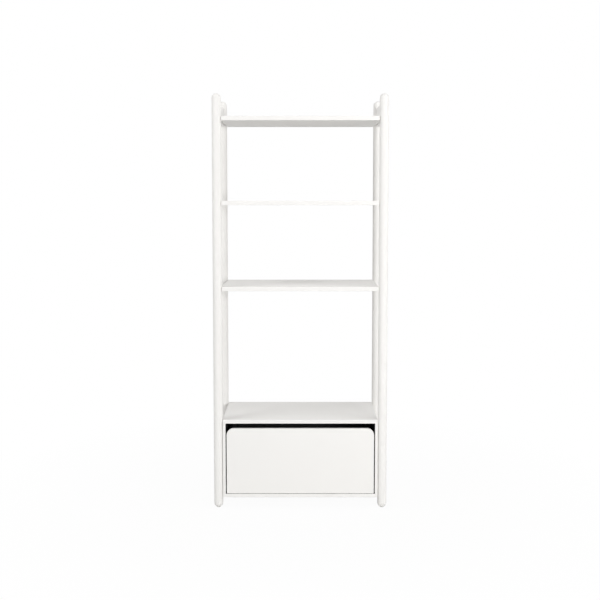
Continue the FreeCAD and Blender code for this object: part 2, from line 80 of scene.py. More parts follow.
# ---------------------------------------------------------------------------------------------
# Node trees
# ---------------------------------------------------------------------------------------------
class Shader:
    """A material's or the world's node tree, with short ways to add and join nodes."""

    def __init__(self, tree: bpy.types.NodeTree) -> None:
        """Start from an existing tree.

        Args:
            tree: the node tree to fill.
        """
        self.tree = tree

    def add(self, kind: str, inputs: dict | None = None, **settings) -> bpy.types.Node:
        """Add a node.

        Args:
            kind: the node's type without the ShaderNode prefix.
            inputs: socket name or number to a value, or to a socket that feeds it.
            settings: the node's own properties.

        Returns:
            The new node.
        """
        node = self.tree.nodes.new("ShaderNode" + kind)
        for key, value in settings.items():
            setattr(node, key, value)
        for key, value in (inputs or {}).items():
            if isinstance(value, bpy.types.NodeSocket):
                self.tree.links.new(value, node.inputs[key])
            else:
                node.inputs[key].default_value = value
        return node

    def math(self, operation: str, first, second) -> bpy.types.NodeSocket:
        """Return the output of a Math node on two values or sockets."""
        return self.add("Math", {0: first, 1: second}, operation=operation).outputs[0]

    def mix(self, factor, first, second) -> bpy.types.NodeSocket:
        """Return a colour mixed between two colours or colour sockets."""
        node = self.add("Mix", data_type="RGBA")
        for socket, value in ((0, factor), (6, first), (7, second)):
            if isinstance(value, bpy.types.NodeSocket):
                self.tree.links.new(value, node.inputs[socket])
            else:
                node.inputs[socket].default_value = value
        return node.outputs[2]

    def spread(self, value, low: float, high: float) -> bpy.types.NodeSocket:
        """Return a 0 to 1 value spread over another range."""
        return self.add("MapRange", {0: value, 3: low, 4: high}).outputs[0]

    def place(self, scale: Sequence[float]) -> bpy.types.NodeSocket:
        """Return Object coordinates stretched by a scale along each axis."""
        coordinates = self.add("TexCoord").outputs["Object"]
        return self.add("Mapping", {"Vector": coordinates, "Scale": scale}).outputs[0]

    def noise(
        self, scale: float, detail: float, stretch: Sequence[float] = EVEN,
    ) -> bpy.types.NodeSocket:
        """Return a noise value on Object coordinates, in cycles per metre."""
        inputs = {"Vector": self.place(stretch), "Scale": scale, "Detail": detail}
        return self.add("TexNoise", inputs).outputs[0]

    def bump(self, height, distance: float, strength: float, below=None) -> bpy.types.NodeSocket:
        """Return a normal raised by a height, over an earlier normal if one is given."""
        inputs = {"Height": height, "Distance": distance, "Strength": strength}
        if below is not None:
            inputs["Normal"] = below
        return self.add("Bump", inputs).outputs[0]

    def rim(self) -> bpy.types.NodeSocket:
        """Return the piece's rim value: 1 on its rounded edges and 0 elsewhere."""
        return self.add("Attribute", attribute_name="rim").outputs["Fac"]


def rgb(red: float, green: float, blue: float) -> tuple[float, float, float, float]:
    """Return a linear colour from an sRGB one in 0 to 255."""
    def linear(value: float) -> float:
        share = value / 255
        return share / 12.92 if share <= 0.04045 else ((share + 0.055) / 1.055) ** 2.4

    return (linear(red), linear(green), linear(blue), 1.0)


def stretched(axis: Axis, along: float) -> tuple[float, float, float]:
    """Return a scale that draws a pattern out along one axis."""
    return tuple(along if axis.value == number else 1.0 for number in range(3))


def material(name: str) -> tuple[bpy.types.Material, Shader, bpy.types.Node]:
    """Return a new material, its tree and its principled shader."""
    made = bpy.data.materials.new(name)
    made.use_nodes = True
    return made, Shader(made.node_tree), made.node_tree.nodes["Principled BSDF"]


def covered(made: bpy.types.Material, surface: bpy.types.Node, colour, rough, relief) -> bpy.types.Material:
    """Return the material with its colour, roughness and normal joined to its shader."""
    for name, socket in (("Base Color", colour), ("Roughness", rough), ("Normal", relief)):
        made.node_tree.links.new(socket, surface.inputs[name])
    return made


# ---------------------------------------------------------------------------------------------
# Finishes
# ---------------------------------------------------------------------------------------------
@dataclass(frozen=True)
class PaintedShadeBox:
    """Painted shade inside a case: dark grey put in place of lacquer where shade falls inside it.

    Args:
        low: lowest corner of the space with painted shade, in metres.
        high: highest corner of the space with painted shade, in metres.
    """

    low: Vector
    high: Vector

    def mask(self, shader: Shader) -> bpy.types.NodeSocket:
        """Return 1 inside the space with painted shade and 0 outside it."""
        axes = shader.add("SeparateXYZ", {0: shader.place(EVEN)}).outputs
        painted_shade_inside = None
        for number in range(3):
            above = shader.math("GREATER_THAN", axes[number], self.low[number])
            below = shader.math("LESS_THAN", axes[number], self.high[number])
            both = shader.math("MULTIPLY", above, below)
            painted_shade_inside = both if painted_shade_inside is None else shader.math("MULTIPLY", painted_shade_inside, both)
        return painted_shade_inside


@dataclass(frozen=True)
class Lacquer:
    """Sprayed lacquer over board or solid wood, with its gloss set low.

    Args:
        name: name of the material.
        tone: the lacquer's colour.
        shade: a slightly deeper colour that it drifts to.
        grain: direction of the wood grain that shows faintly through it.
        grain_depth: height of that grain, in metres.
        painted_shade: the space inside a case where the piece is coloured dark grey as painted shade, if it
            is part of a case.
    """

    name: str
    tone: tuple = rgb(242, 241, 239)
    shade: tuple = rgb(238, 236, 233)
    grain: Axis = Axis.X
    grain_depth: float = 0.004 * MM
    painted_shade: PaintedShadeBox | None = None

    drift_scale, drift_detail = 2.3, 3.0
    drift_range = (0.15, 0.85)
    smear_scale, smear_detail = 34.0, 4.0
    rough_range = (0.6, 0.72)
    peel_scale, peel_detail = 380.0, 1.5
    peel_depth, peel_strength = 0.012 * MM, 0.35
    grain_scale, grain_detail = 260.0, 5.0
    grain_stretch, grain_strength = 0.02, 0.5
    # Painted highlight: the rounded edges are coloured partway toward a paler white.
    rim_painted_highlight = rgb(244, 243, 241)
    rim_share, rim_polish = 0.6, 0.06
    # Painted shade: the dark grey inside a case, which is also made rougher.
    painted_shade_tone = rgb(57, 57, 58)
    painted_shade_roughening = 0.2
    refraction, specular = 1.48, 0.14

    def build(self) -> bpy.types.Material:
        """Return the material."""
        made, shader, surface = material(self.name)
        drift = shader.noise(self.drift_scale, self.drift_detail)
        colour = shader.mix(shader.spread(drift, *self.drift_range), self.tone, self.shade)
        # Painted highlight: the rounded edges are coloured lighter, and their roughness is lowered.
        rim = shader.rim()
        colour = shader.mix(shader.math("MULTIPLY", rim, self.rim_share), colour, self.rim_painted_highlight)
        smear = shader.noise(self.smear_scale, self.smear_detail)
        polish = shader.math("MULTIPLY", rim, self.rim_polish)
        rough = shader.math("SUBTRACT", shader.spread(smear, *self.rough_range), polish)
        # Painted shade: the inside of a case is coloured dark grey.
        if self.painted_shade:
            mask = self.painted_shade.mask(shader)
            colour = shader.mix(mask, colour, self.painted_shade_tone)
            rough = shader.math("ADD", rough, shader.math("MULTIPLY", mask, self.painted_shade_roughening))
        stretch = stretched(self.grain, self.grain_stretch)
        grain = shader.noise(self.grain_scale, self.grain_detail, stretch)
        relief = shader.bump(grain, self.grain_depth, self.grain_strength)
        peel = shader.noise(self.peel_scale, self.peel_detail)
        relief = shader.bump(peel, self.peel_depth, self.peel_strength, relief)
        surface.inputs["IOR"].default_value = self.refraction
        surface.inputs["Specular IOR Level"].default_value = self.specular
        return covered(made, surface, colour, rough, relief)


@dataclass(frozen=True)
class DarkBoard:
    """Charcoal melamine with a fine printed ash grain."""

    name: str = "dark_board"
    grain: Axis = Axis.Y

    dark = rgb(47, 47, 48)
    light = rgb(66, 65, 65)
    grain_scale, grain_detail, grain_stretch = 190.0, 6.0, 0.03
    pore_scale, pore_detail, pore_stretch = 900.0, 2.0, 0.05
    grain_depth, pore_depth, strength = 0.04 * MM, 0.03 * MM, 0.4
    rough_range = (0.46, 0.6)

    def build(self) -> bpy.types.Material:
        """Return the material."""
        made, shader, surface = material(self.name)
        along = stretched(self.grain, self.grain_stretch)
        grain = shader.noise(self.grain_scale, self.grain_detail, along)
        pores = shader.noise(self.pore_scale, self.pore_detail, stretched(self.grain, self.pore_stretch))
        colour = shader.mix(shader.spread(grain, 0.0, 1.0), self.dark, self.light)
        below = shader.bump(grain, self.grain_depth, self.strength)
        relief = shader.bump(pores, self.pore_depth, self.strength, below)
        return covered(made, surface, colour, shader.spread(grain, *self.rough_range), relief)


@dataclass(frozen=True)
class Hardboard:
    """Thin fibreboard, white on the outside, with painted shade on the inside: its inner face is coloured
    dark grey.

    Args:
        turn_y: the place along Y where it turns from dark to white.
    """

    turn_y: float
    name: str = "back_board"

    outside = rgb(236, 235, 231)
    mottled = rgb(226, 225, 220)
    # Painted shade: the dark grey of the inner face.
    painted_shade_inside = rgb(55, 55, 56)
    mottle_scale, mottle_detail, mottle_share = 45.0, 5.0, 0.6
    fibre_scale, fibre_detail = 1100.0, 3.0
    fibre_depth, strength = 0.08 * MM, 0.5
    rough_range = (0.5, 0.68)

    def build(self) -> bpy.types.Material:
        """Return the material."""
        made, shader, surface = material(self.name)
        depth = shader.add("SeparateXYZ", {0: shader.place(EVEN)}).outputs[1]
        mottle = shader.noise(self.mottle_scale, self.mottle_detail)
        white = shader.mix(shader.spread(mottle, 0.0, self.mottle_share), self.outside, self.mottled)
        # Painted shade: the face nearer the front of the case is coloured dark grey.
        colour = shader.mix(shader.math("GREATER_THAN", depth, self.turn_y), self.painted_shade_inside, white)
        fibre = shader.noise(self.fibre_scale, self.fibre_detail)
        relief = shader.bump(fibre, self.fibre_depth, self.strength)
        return covered(made, surface, colour, shader.spread(mottle, *self.rough_range), relief)


@dataclass(frozen=True)
class PowderCoat:
    """Fine-textured dark epoxy powder on pressed steel."""

    name: str = "slide_steel"

    dark = rgb(86, 87, 89)
    light = rgb(104, 105, 107)
    speck_scale, speck_detail = 2600.0, 3.0
    speck_depth, strength = 0.03 * MM, 0.5
    cloud_scale, cloud_detail = 70.0, 4.0
    rough_range = (0.36, 0.52)

    def build(self) -> bpy.types.Material:
        """Return the material."""
        made, shader, surface = material(self.name)
        speck = shader.noise(self.speck_scale, self.speck_detail)
        colour = shader.mix(shader.spread(speck, 0.0, 1.0), self.dark, self.light)
        cloud = shader.noise(self.cloud_scale, self.cloud_detail)
        relief = shader.bump(speck, self.speck_depth, self.strength)
        return covered(made, surface, colour, shader.spread(cloud, *self.rough_range), relief)


@dataclass(frozen=True)
class Zinc:
    """Bright zinc plate with fine turning marks."""

    name: str = "zinc"

    dark = rgb(186, 188, 192)
    light = rgb(210, 210, 208)
    cloud_scale, cloud_detail = 240.0, 4.0
    mark_scale, mark_detail = 3200.0, 2.0
    mark_depth, strength = 0.01 * MM, 0.4
    rough_range = (0.22, 0.4)

    def build(self) -> bpy.types.Material:
        """Return the material."""
        made, shader, surface = material(self.name)
        cloud = shader.noise(self.cloud_scale, self.cloud_detail)
        colour = shader.mix(shader.spread(cloud, 0.0, 1.0), self.dark, self.light)
        marks = shader.noise(self.mark_scale, self.mark_detail)
        relief = shader.bump(marks, self.mark_depth, self.strength)
        surface.inputs["Metallic"].default_value = 1.0
        return covered(made, surface, colour, shader.spread(cloud, *self.rough_range), relief)


@dataclass(frozen=True)
class Moulded:
    """Moulded plastic with a light scuff.

    Args:
        name: name of the material.
        tone: its colour.
        worn: the colour where it is scuffed.
    """

    name: str
    tone: tuple
    worn: tuple

    scuff_scale, scuff_detail = 160.0, 6.0
    scuff_range = (-0.4, 1.0)
    skin_scale, skin_detail = 1800.0, 2.0
    skin_depth, strength = 0.02 * MM, 0.4
    rough_range = (0.38, 0.62)

    def build(self) -> bpy.types.Material:
        """Return the material."""
        made, shader, surface = material(self.name)
        scuff = shader.noise(self.scuff_scale, self.scuff_detail)
        colour = shader.mix(shader.spread(scuff, *self.scuff_range), self.tone, self.worn)
        skin = shader.noise(self.skin_scale, self.skin_detail)
        relief = shader.bump(skin, self.skin_depth, self.strength)
        return covered(made, surface, colour, shader.spread(scuff, *self.rough_range), relief)


@dataclass(frozen=True)
class Beech:
    """Plain steamed beech, as dowels are."""

    name: str = "beech"

    light = rgb(206, 170, 126)
    dark = rgb(186, 146, 102)
    fleck_scale, fleck_detail, fleck_stretch = 700.0, 4.0, 0.12
    fleck_depth, strength = 0.05 * MM, 0.5
    rough_range = (0.5, 0.66)

    def build(self) -> bpy.types.Material:
        """Return the material."""
        made, shader, surface = material(self.name)
        along = stretched(Axis.Y, self.fleck_stretch)
        fleck = shader.noise(self.fleck_scale, self.fleck_detail, along)
        colour = shader.mix(shader.spread(fleck, 0.0, 1.0), self.light, self.dark)
        relief = shader.bump(fleck, self.fleck_depth, self.strength)
        return covered(made, surface, colour, shader.spread(fleck, *self.rough_range), relief)


# ---------------------------------------------------------------------------------------------
# Mesh work
# ---------------------------------------------------------------------------------------------
def span(node: str) -> tuple[Vector, Vector, Vector]:
    """Return a node's lowest corner, highest corner and middle."""
    low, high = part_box(node)
    return low, high, (low + high) / 2


def block(low: Vector, high: Vector) -> bmesh.types.BMesh:
    """Return a box mesh between two corners, with a rim layer on its faces."""
    mesh = bmesh.new()
    size = high - low
    place = Matrix.Translation((low + high) / 2) @ Matrix.Diagonal((*size, 1))
    bmesh.ops.create_cube(mesh, size=1.0, matrix=place)
    mesh.faces.layers.float.new("rim")
    return mesh


def rounded(
    mesh: bmesh.types.BMesh, chosen: Callable, radius: float, segments: int, rim: float = 0.0,
) -> None:
    """Round the chosen edges.

    Args:
        mesh: the mesh to change.
        chosen: takes an edge's two points and says whether it is rounded.
        radius: radius of the rounding, in metres.
        segments: faces across the rounding.
        rim: the rim value that the new faces get.
    """
    edges = [edge for edge in mesh.edges if chosen(edge.verts[0].co, edge.verts[1].co)]
    made = bmesh.ops.bevel(
        mesh, geom=edges, offset=radius, offset_type="OFFSET", affect="EDGES",
        segments=segments, profile=0.5, material=-1, clamp_overlap=True,
    )
    layer = mesh.faces.layers.float["rim"]
    for face in made["faces"]:
        face[layer] = rim


def same(axis: Axis, value: float) -> Callable:
    """Return a test of whether both ends of an edge lie at a value along an axis."""
    number = axis.value
    return lambda a, b: abs(a[number] - value) < SAME_PLACE and abs(b[number] - value) < SAME_PLACE


def longer(axis: Axis, length: float) -> Callable:
    """Return a test of whether an edge reaches further than a length along an axis."""
    number = axis.value
    return lambda a, b: abs(a[number] - b[number]) > length


def cylinder(radius: float, start: Vector, end: Vector, segments: int) -> bmesh.types.BMesh:
    """Return a closed cylinder mesh between two points."""
    mesh = bmesh.new()
    length = (end - start).length
    turn = (end - start).to_track_quat("Z", "Y").to_matrix().to_4x4()
    place = Matrix.Translation((start + end) / 2) @ turn
    bmesh.ops.create_cone(
        mesh, cap_ends=True, cap_tris=False, segments=segments,
        radius1=radius, radius2=radius, depth=length, matrix=place,
    )
    return mesh


def as_object(mesh: bmesh.types.BMesh, name: str) -> bpy.types.Object:
    """Return an object at the origin that holds the mesh, and free the mesh."""
    data = bpy.data.meshes.new(name)
    mesh.to_mesh(data)
    mesh.free()
    made = bpy.data.objects.new(name, data)
    bpy.context.scene.collection.objects.link(made)
    return made


def carved(body: bpy.types.Object, cutters: Iterable[bmesh.types.BMesh]) -> bpy.types.Object:
    """Cut tools out of a piece.

    Args:
        body: the piece.
        cutters: closed meshes, which are freed.

    Returns:
        The same piece with its new mesh.
    """
    joined = bmesh.new()
    for cutter in cutters:
        held = bpy.data.meshes.new("cutter")
        cutter.to_mesh(held)
        cutter.free()
        joined.from_mesh(held)
        bpy.data.meshes.remove(held)
    tool = as_object(joined, "cutter")
    step = body.modifiers.new("cut", "BOOLEAN")
    step.operation = "DIFFERENCE"
    step.solver = "EXACT"
    step.object = tool
    bpy.context.view_layer.update()
    seen = body.evaluated_get(bpy.context.evaluated_depsgraph_get())
    result = bpy.data.meshes.new_from_object(seen)
    old = body.data
    body.modifiers.clear()
    body.data = result
    result.name = old.name
    bpy.data.meshes.remove(old)
    bpy.data.objects.remove(tool)
    return body


def finished(piece: bpy.types.Object, look: bpy.types.Material, node: str) -> bpy.types.Object:
    """Smooth a piece, dress it and let it stand for its CAD node.

    Args:
        piece: the piece, in place.
        look: its material.
        node: the CAD node that it replaces.

    Returns:
        The piece.
    """
    mesh = bmesh.new()
    mesh.from_mesh(piece.data)
    bmesh.ops.remove_doubles(mesh, verts=mesh.verts, dist=WELD)
    for face in mesh.faces:
        face.smooth = True
    for edge in mesh.edges:
        edge.smooth = len(edge.link_faces) == 2 and edge.calc_face_angle(0.0) < SHARP_ANGLE
    mesh.to_mesh(piece.data)
    mesh.free()
    weighted = piece.modifiers.new("weighted", "WEIGHTED_NORMAL")
    weighted.keep_sharp = True
    piece.data.materials.clear()
    piece.data.materials.append(look)
    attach(piece, next(body for body, nodes in BODIES.items() if node in nodes))
    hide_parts(node)
    LOG.info("%s: %d faces", piece.name, len(piece.data.polygons))
    return piece


BODIES: dict[str, list[str]] = frame["record"]["behaviour"]["bodies"]


# ---------------------------------------------------------------------------------------------
# Sub-assemblies
# ---------------------------------------------------------------------------------------------
@dataclass
class Post:
    """One round post with a domed top and a foot cut flat for its glide.

    Args:
        side: left or right.
        end: front or back.
        segments: faces round the post.
        dome_steps: faces up the dome.
        seat_gap: space between the post and the wood that meets it.
        hole_gap: space round a bolt head.
        ring: distance of the level cuts from a bolt's axis.
        head_radius: radius of a bolt's head.
        head_depth: how far a head's seat lies under the post's outer line.
        past: how far a tool runs past the surface that it cuts.
        hole_facets: faces round a bolt head's hole.
        foot_margin: how far the foot's flat reaches past the glide.
        weld: distance within which the turned points are joined.
    """

    side: str
    end: str
    segments: int = 96
    dome_steps: int = 18
    seat_gap: float = 0.1 * MM
    hole_gap: float = 0.2 * MM
    ring: float = 9 * MM
    head_radius: float = 5 * MM
    head_depth: float = 8 * MM
    past: float = 2 * MM
    hole_facets: int = 48
    foot_margin: float = 0.5 * MM
    weld: float = 0.01 * MM
    radius: float = field(init=False)
    axis: Vector = field(init=False)
    low: float = field(init=False)
    high: float = field(init=False)

    def __post_init__(self) -> None:
        """Take the sizes from the CAD node."""
        low, high, middle = span(self.node)
        self.radius = (high.x - low.x) / 2
        self.axis = Vector((middle.x, middle.y, 0))
        self.low = low.z
        self.high = high.z

    @property
    def node(self) -> str:
        """Name of the CAD node."""
        return f"post_{self.end}_{self.side}"

    @property
    def outward(self) -> float:
        """Sign of X on this side."""
        return -1.0 if self.side == "left" else 1.0

    def hollow(self, low: float, high: float) -> bmesh.types.BMesh:
        """Return the tool for a hollow that fits round this post between two heights."""
        start = self.axis + Vector((0, 0, low))
        end = self.axis + Vector((0, 0, high))
        return cylinder(self.radius + self.seat_gap, start, end, self.segments)

    def head_hole(self, height: float) -> bmesh.types.BMesh:
        """Return the tool for the hole that a bolt's head lies in."""
        seat = self.outward * (self.radius - self.head_depth)
        mouth = self.outward * (self.radius + self.past)
        start, end = (self.axis + Vector((reach, 0, height)) for reach in (seat, mouth))
        return cylinder(self.head_radius + self.hole_gap, start, end, self.hole_facets)

    def profile(self, mesh: bmesh.types.BMesh) -> None:
        """Lay the post's half outline in the XZ plane, from the foot's flat to the top of the dome."""
        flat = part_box("foot_glides")[0].x
        flat = abs(abs(flat) - abs(self.axis.x)) + self.foot_margin
        foot_centre = self.low + math.sqrt(self.radius**2 - flat**2)
        top_centre = self.high - self.radius
        start_angle = math.acos(flat / self.radius)
        turn = Vector((0, -1, 0))
        foot = mesh.verts.new((flat, 0, self.low))
        arc = bmesh.ops.spin(
            mesh, geom=[foot], cent=(0, 0, foot_centre), axis=turn, angle=start_angle,
            steps=self.dome_steps // 2, use_merge=False,
        )["geom_last"]
        edge = bmesh.ops.extrude_vert_indiv(mesh, verts=arc)
        upper = edge["verts"][0]
        upper.co = Vector((self.radius, 0, top_centre))
        bmesh.ops.spin(
            mesh, geom=[upper], cent=(0, 0, top_centre), axis=turn, angle=math.pi / 2,
            steps=self.dome_steps, use_merge=False,
        )
        centre = bmesh.ops.extrude_vert_indiv(mesh, verts=[foot])["verts"][0]
        centre.co = Vector((0, 0, self.low))

    def build(self, look: bpy.types.Material, bolt_heights: Sequence[float]) -> bpy.types.Object:
        """Return the finished post.

        Args:
            look: its material.
            bolt_heights: heights of its connector bolts.
        """
        mesh = bmesh.new()
        self.profile(mesh)
        bmesh.ops.spin(
            mesh, geom=mesh.verts[:] + mesh.edges[:], cent=(0, 0, 0), axis=(0, 0, 1),
            angle=2 * math.pi, steps=self.segments, use_merge=True,
        )
        bmesh.ops.remove_doubles(mesh, verts=mesh.verts, dist=self.weld)
        for height in bolt_heights:
            for offset in (-self.ring, self.ring):
                geometry = mesh.verts[:] + mesh.edges[:] + mesh.faces[:]
                level = (0, 0, height + offset)
                bmesh.ops.bisect_plane(mesh, geom=geometry, plane_co=level, plane_no=(0, 0, 1))
        bmesh.ops.translate(mesh, verts=mesh.verts, vec=self.axis)
        bmesh.ops.recalc_face_normals(mesh, faces=mesh.faces)
        mesh.faces.layers.float.new("rim")
        tools = [self.head_hole(height) for height in bolt_heights]
        return finished(carved(as_object(mesh, self.node + "_turned"), tools), look, self.node)


@dataclass
class Board:
    """A flat board with rounded corners, whose ends bear on the four posts.

    Args:
        node: name of the CAD node.
        posts: the four posts.
        front_corner: radius of the front corners.
        back_corner: radius of the back corners.
        edge: radius of the long edges.
        nut_inset: distance of a barrel nut from the board's end.
        nut_radius: radius of a nut's hole.
        nut_cover: wood left above a nut's hole.
        past: how far a tool runs past the surface that it cuts.
    """

    node: str
    posts: Sequence[Post]
    front_corner: float = 2 * MM
    back_corner: float = 10 * MM
    edge: float = 1.5 * MM
    nut_inset: float = 25 * MM
    nut_radius: float = 5.05 * MM
    nut_cover: float = 2 * MM
    past: float = 2 * MM

    front_steps, back_steps, edge_steps, nut_facets = 6, 14, 3, 40

    @property
    def bolt_height(self) -> float:
        """Height of the connector bolts, at the middle of the board."""
        return span(self.node)[2].z

    def nut_hole(self, post: Post) -> bmesh.types.BMesh:
        """Return the tool for the hole that drops in from below beside a post."""
        low, high, _ = span(self.node)
        x = post.outward * (high.x - self.nut_inset)
        start, end = (Vector((x, post.axis.y, z)) for z in (low.z - self.past, high.z - self.nut_cover))
        return cylinder(self.nut_radius, start, end, self.nut_facets)

    def build(
        self, look: bpy.types.Material, extra: Sequence[bmesh.types.BMesh] = (),
    ) -> bpy.types.Object:
        """Return the finished board.

        Args:
            look: its material.
            extra: further tools to cut with, such as a groove.
        """
        low, high, middle = span(self.node)
        mesh = block(low, high)
        upright = longer(Axis.Z, self.edge)
        behind = middle.y + self.front_corner
        rounded(mesh, lambda a, b: upright(a, b) and a.y < middle.y, self.front_corner, self.front_steps)
        rounded(mesh, lambda a, b: upright(a, b) and a.y > behind, self.back_corner, self.back_steps)
        top, bottom = same(Axis.Z, high.z), same(Axis.Z, low.z)
        rounded(mesh, lambda a, b: top(a, b) or bottom(a, b), self.edge, self.edge_steps, rim=1.0)
        bmesh.ops.recalc_face_normals(mesh, faces=mesh.faces)
        tools = [self.nut_hole(post) for post in self.posts]
        piece = as_object(mesh, self.node + "_board")
        return finished(carved(piece, [*tools, *extra]), look, self.node)


@dataclass
class Rail:
    """A side rail between a front and a back post.

    Args:
        node: name of the CAD node.
        posts: the two posts that it joins.
        edge: radius of the long edges.
        past: how far a tool runs past the surface that it cuts.
    """

    node: str
    posts: Sequence[Post]
    edge: float = 2.5 * MM
    past: float = 5 * MM

    edge_steps = 5

    def build(self, look: bpy.types.Material) -> bpy.types.Object:
        """Return the finished rail."""
        low, high, _ = span(self.node)
        reach = abs(self.posts[0].axis.y)
        mesh = block(Vector((low.x, -reach, low.z)), Vector((high.x, reach, high.z)))
        rounded(mesh, longer(Axis.Y, reach), self.edge, self.edge_steps, rim=1.0)
        bmesh.ops.recalc_face_normals(mesh, faces=mesh.faces)
        tools = [post.hollow(low.z - self.past, high.z + self.past) for post in self.posts]
        return finished(carved(as_object(mesh, self.node + "_rail"), tools), look, self.node)


@dataclass
class CabinetSide:
    """A cabinet side, grooved for the back panel.

    Args:
        side: left or right.
        edge: radius of the front edges.
    """

    side: str
    edge: float = 1.5 * MM

    edge_steps = 3

    def build(self, look: bpy.types.Material, groove: bmesh.types.BMesh) -> bpy.types.Object:
        """Return the finished side, cut with the back panel's groove."""
        node = f"cabinet_side_{self.side}"
        low, high, _ = span(node)
        mesh = block(low, high)
        front, upright = same(Axis.Y, low.y), longer(Axis.Z, self.edge)
        rounded(mesh, lambda a, b: front(a, b) and upright(a, b), self.edge, self.edge_steps, rim=1.0)
        bmesh.ops.recalc_face_normals(mesh, faces=mesh.faces)
        return finished(carved(as_object(mesh, node + "_panel"), [groove]), look, node)


@dataclass
class DrawerFront:
    """The inset drawer front with large upper corners and a rounded grip edge.

    Args:
        node: name of the CAD node.
        corner: radius of the upper corners.
        lower_corner: radius of the lower corners.
        edge: radius of the edges in front.
        grip: radius of the edge behind the top, which the fingers hold.
        groove_depth: depth of the groove for the bottom panel.
        end_play: room at the panel's ends.
        face_play: room over and under the panel.
    """

    node: str = "drawer_front"
    corner: float = 30 * MM
    lower_corner: float = 2 * MM
    edge: float = 1.5 * MM
    grip: float = 3 * MM
    groove_depth: float = 5 * MM
    end_play: float = 0.5 * MM
    face_play: float = 0.1 * MM

    corner_steps, lower_steps, edge_steps, grip_steps = 24, 3, 4, 5

    def build(self, look: bpy.types.Material) -> bpy.types.Object:
        """Return the finished drawer front."""
        low, high, middle = span(self.node)
        mesh = block(low, high)
        deep = longer(Axis.Y, self.edge)
        near_bottom = low.z + self.edge
        near_top = high.z - self.corner - self.edge
        rounded(mesh, lambda a, b: deep(a, b) and a.z > middle.z, self.corner, self.corner_steps)
        rounded(mesh, lambda a, b: deep(a, b) and a.z < near_bottom, self.lower_corner, self.lower_steps)
        rounded(mesh, same(Axis.Y, low.y), self.edge, self.edge_steps, rim=1.0)
        back = same(Axis.Y, high.y)
        held = lambda a, b: back(a, b) and min(a.z, b.z) > near_top
        rounded(mesh, held, self.grip, self.grip_steps, rim=1.0)
        bmesh.ops.recalc_face_normals(mesh, faces=mesh.faces)
        panel_low, panel_high, _ = span("drawer_bottom")
        wide = panel_high.x + self.end_play
        groove = block(
            Vector((-wide, high.y - self.groove_depth, panel_low.z - self.face_play)),
            Vector((wide, high.y + self.groove_depth, panel_high.z + self.face_play)),
        )
        return finished(carved(as_object(mesh, "drawer_front_panel"), [groove]), look, self.node)


@dataclass
class Bookcase:
    """The whole bookcase, built from the frame."""

    posts: dict[tuple[str, str], Post] = field(init=False)
    boards: dict[str, Board] = field(init=False)

    # Painted shade: how far its space reaches into the case's walls, and how far behind the front it
    # starts.
    painted_shade_skin = 0.3 * MM
    painted_shade_inset = 2 * MM
    groove_play = Vector((0.5 * MM, 0.1 * MM, 0.5 * MM))
    wood_grain_depth = 0.02 * MM
    shelf_names = ("shelf_top", "shelf_upper", "shelf_middle")
    case_names = ("cabinet_top", "cabinet_bottom")

    def __post_init__(self) -> None:
        """Lay out the posts and boards."""
        self.posts = {(end, side): Post(side, end) for side in SIDES for end in ENDS}
        every = list(self.posts.values())
        self.boards = {name: Board(name, every) for name in (*self.shelf_names, *self.case_names)}

    def painted_shade(self) -> PaintedShadeBox:
        """Return the space of painted shade inside the cabinet."""
        half = span("cabinet_side_right")[0].x + self.painted_shade_skin
        ceiling = span("cabinet_top")[0]
        floor = span("cabinet_bottom")[1].z - self.painted_shade_skin
        back = span("cabinet_back")[0].y
        low = Vector((-half, ceiling.y + self.painted_shade_inset, floor))
        return PaintedShadeBox(low, Vector((half, back, ceiling.z + self.painted_shade_skin)))

    def groove(self) -> bmesh.types.BMesh:
        """Return the tool for the back panel's groove."""
        low, high, _ = span("cabinet_back")
        return block(low - self.groove_play, high + self.groove_play)

    def build(self) -> None:
        """Model and dress every piece."""
        grain = self.wood_grain_depth
        post_look = Lacquer("lacquer_post", grain=Axis.Z, grain_depth=grain).build()
        rail_look = Lacquer("lacquer_rail", grain=Axis.Y, grain_depth=grain).build()
        board_look = Lacquer("lacquer_board").build()
        # The case's lacquer holds painted shade on its inside.
        case_look = Lacquer("lacquer_case_painted_shade", painted_shade=self.painted_shade()).build()
        heights = [board.bolt_height for board in self.boards.values()]
        for post in self.posts.values():
            post.build(post_look, heights)
        for name in self.shelf_names:
            self.boards[name].build(board_look)
        for name in self.case_names:
            self.boards[name].build(case_look, [self.groove()])
        for side in SIDES:
            pair = [self.posts[end, side] for end in ENDS]
            for level in ("top", "bottom"):
                Rail(f"rail_{level}_{side}", pair).build(rail_look)
            CabinetSide(side).build(case_look, self.groove())
        DrawerFront().build(board_look)
        self.dress()

    def dress(self) -> None:
        """Give the CAD nodes that stay their finishes."""
        looks = {
            "beech": Beech().build(),
            "slide_steel": PowderCoat().build(),
            "zinc": Zinc().build(),
            "nylon": Moulded("nylon", rgb(222, 221, 214), rgb(196, 194, 186)).build(),
            "glide": Moulded("glide", rgb(236, 236, 232), rgb(214, 213, 208)).build(),
            "dark_board": DarkBoard().build(),
            "back_board": Hardboard(span("cabinet_back")[2].y).build(),
        }
        slots = {row["node"]: row["material_slot"] for row in frame["record"]["subparts"]}
        for node, shown in frame["nodes"].items():
            if shown.hide_render or slots[node] not in looks:
                continue
            look = looks[slots[node]]
            if shown.material_slots:
                for slot in shown.material_slots:
                    slot.material = look
            else:
                shown.data.materials.append(look)
            LOG.info("%s: kept, in %s", node, look.name)


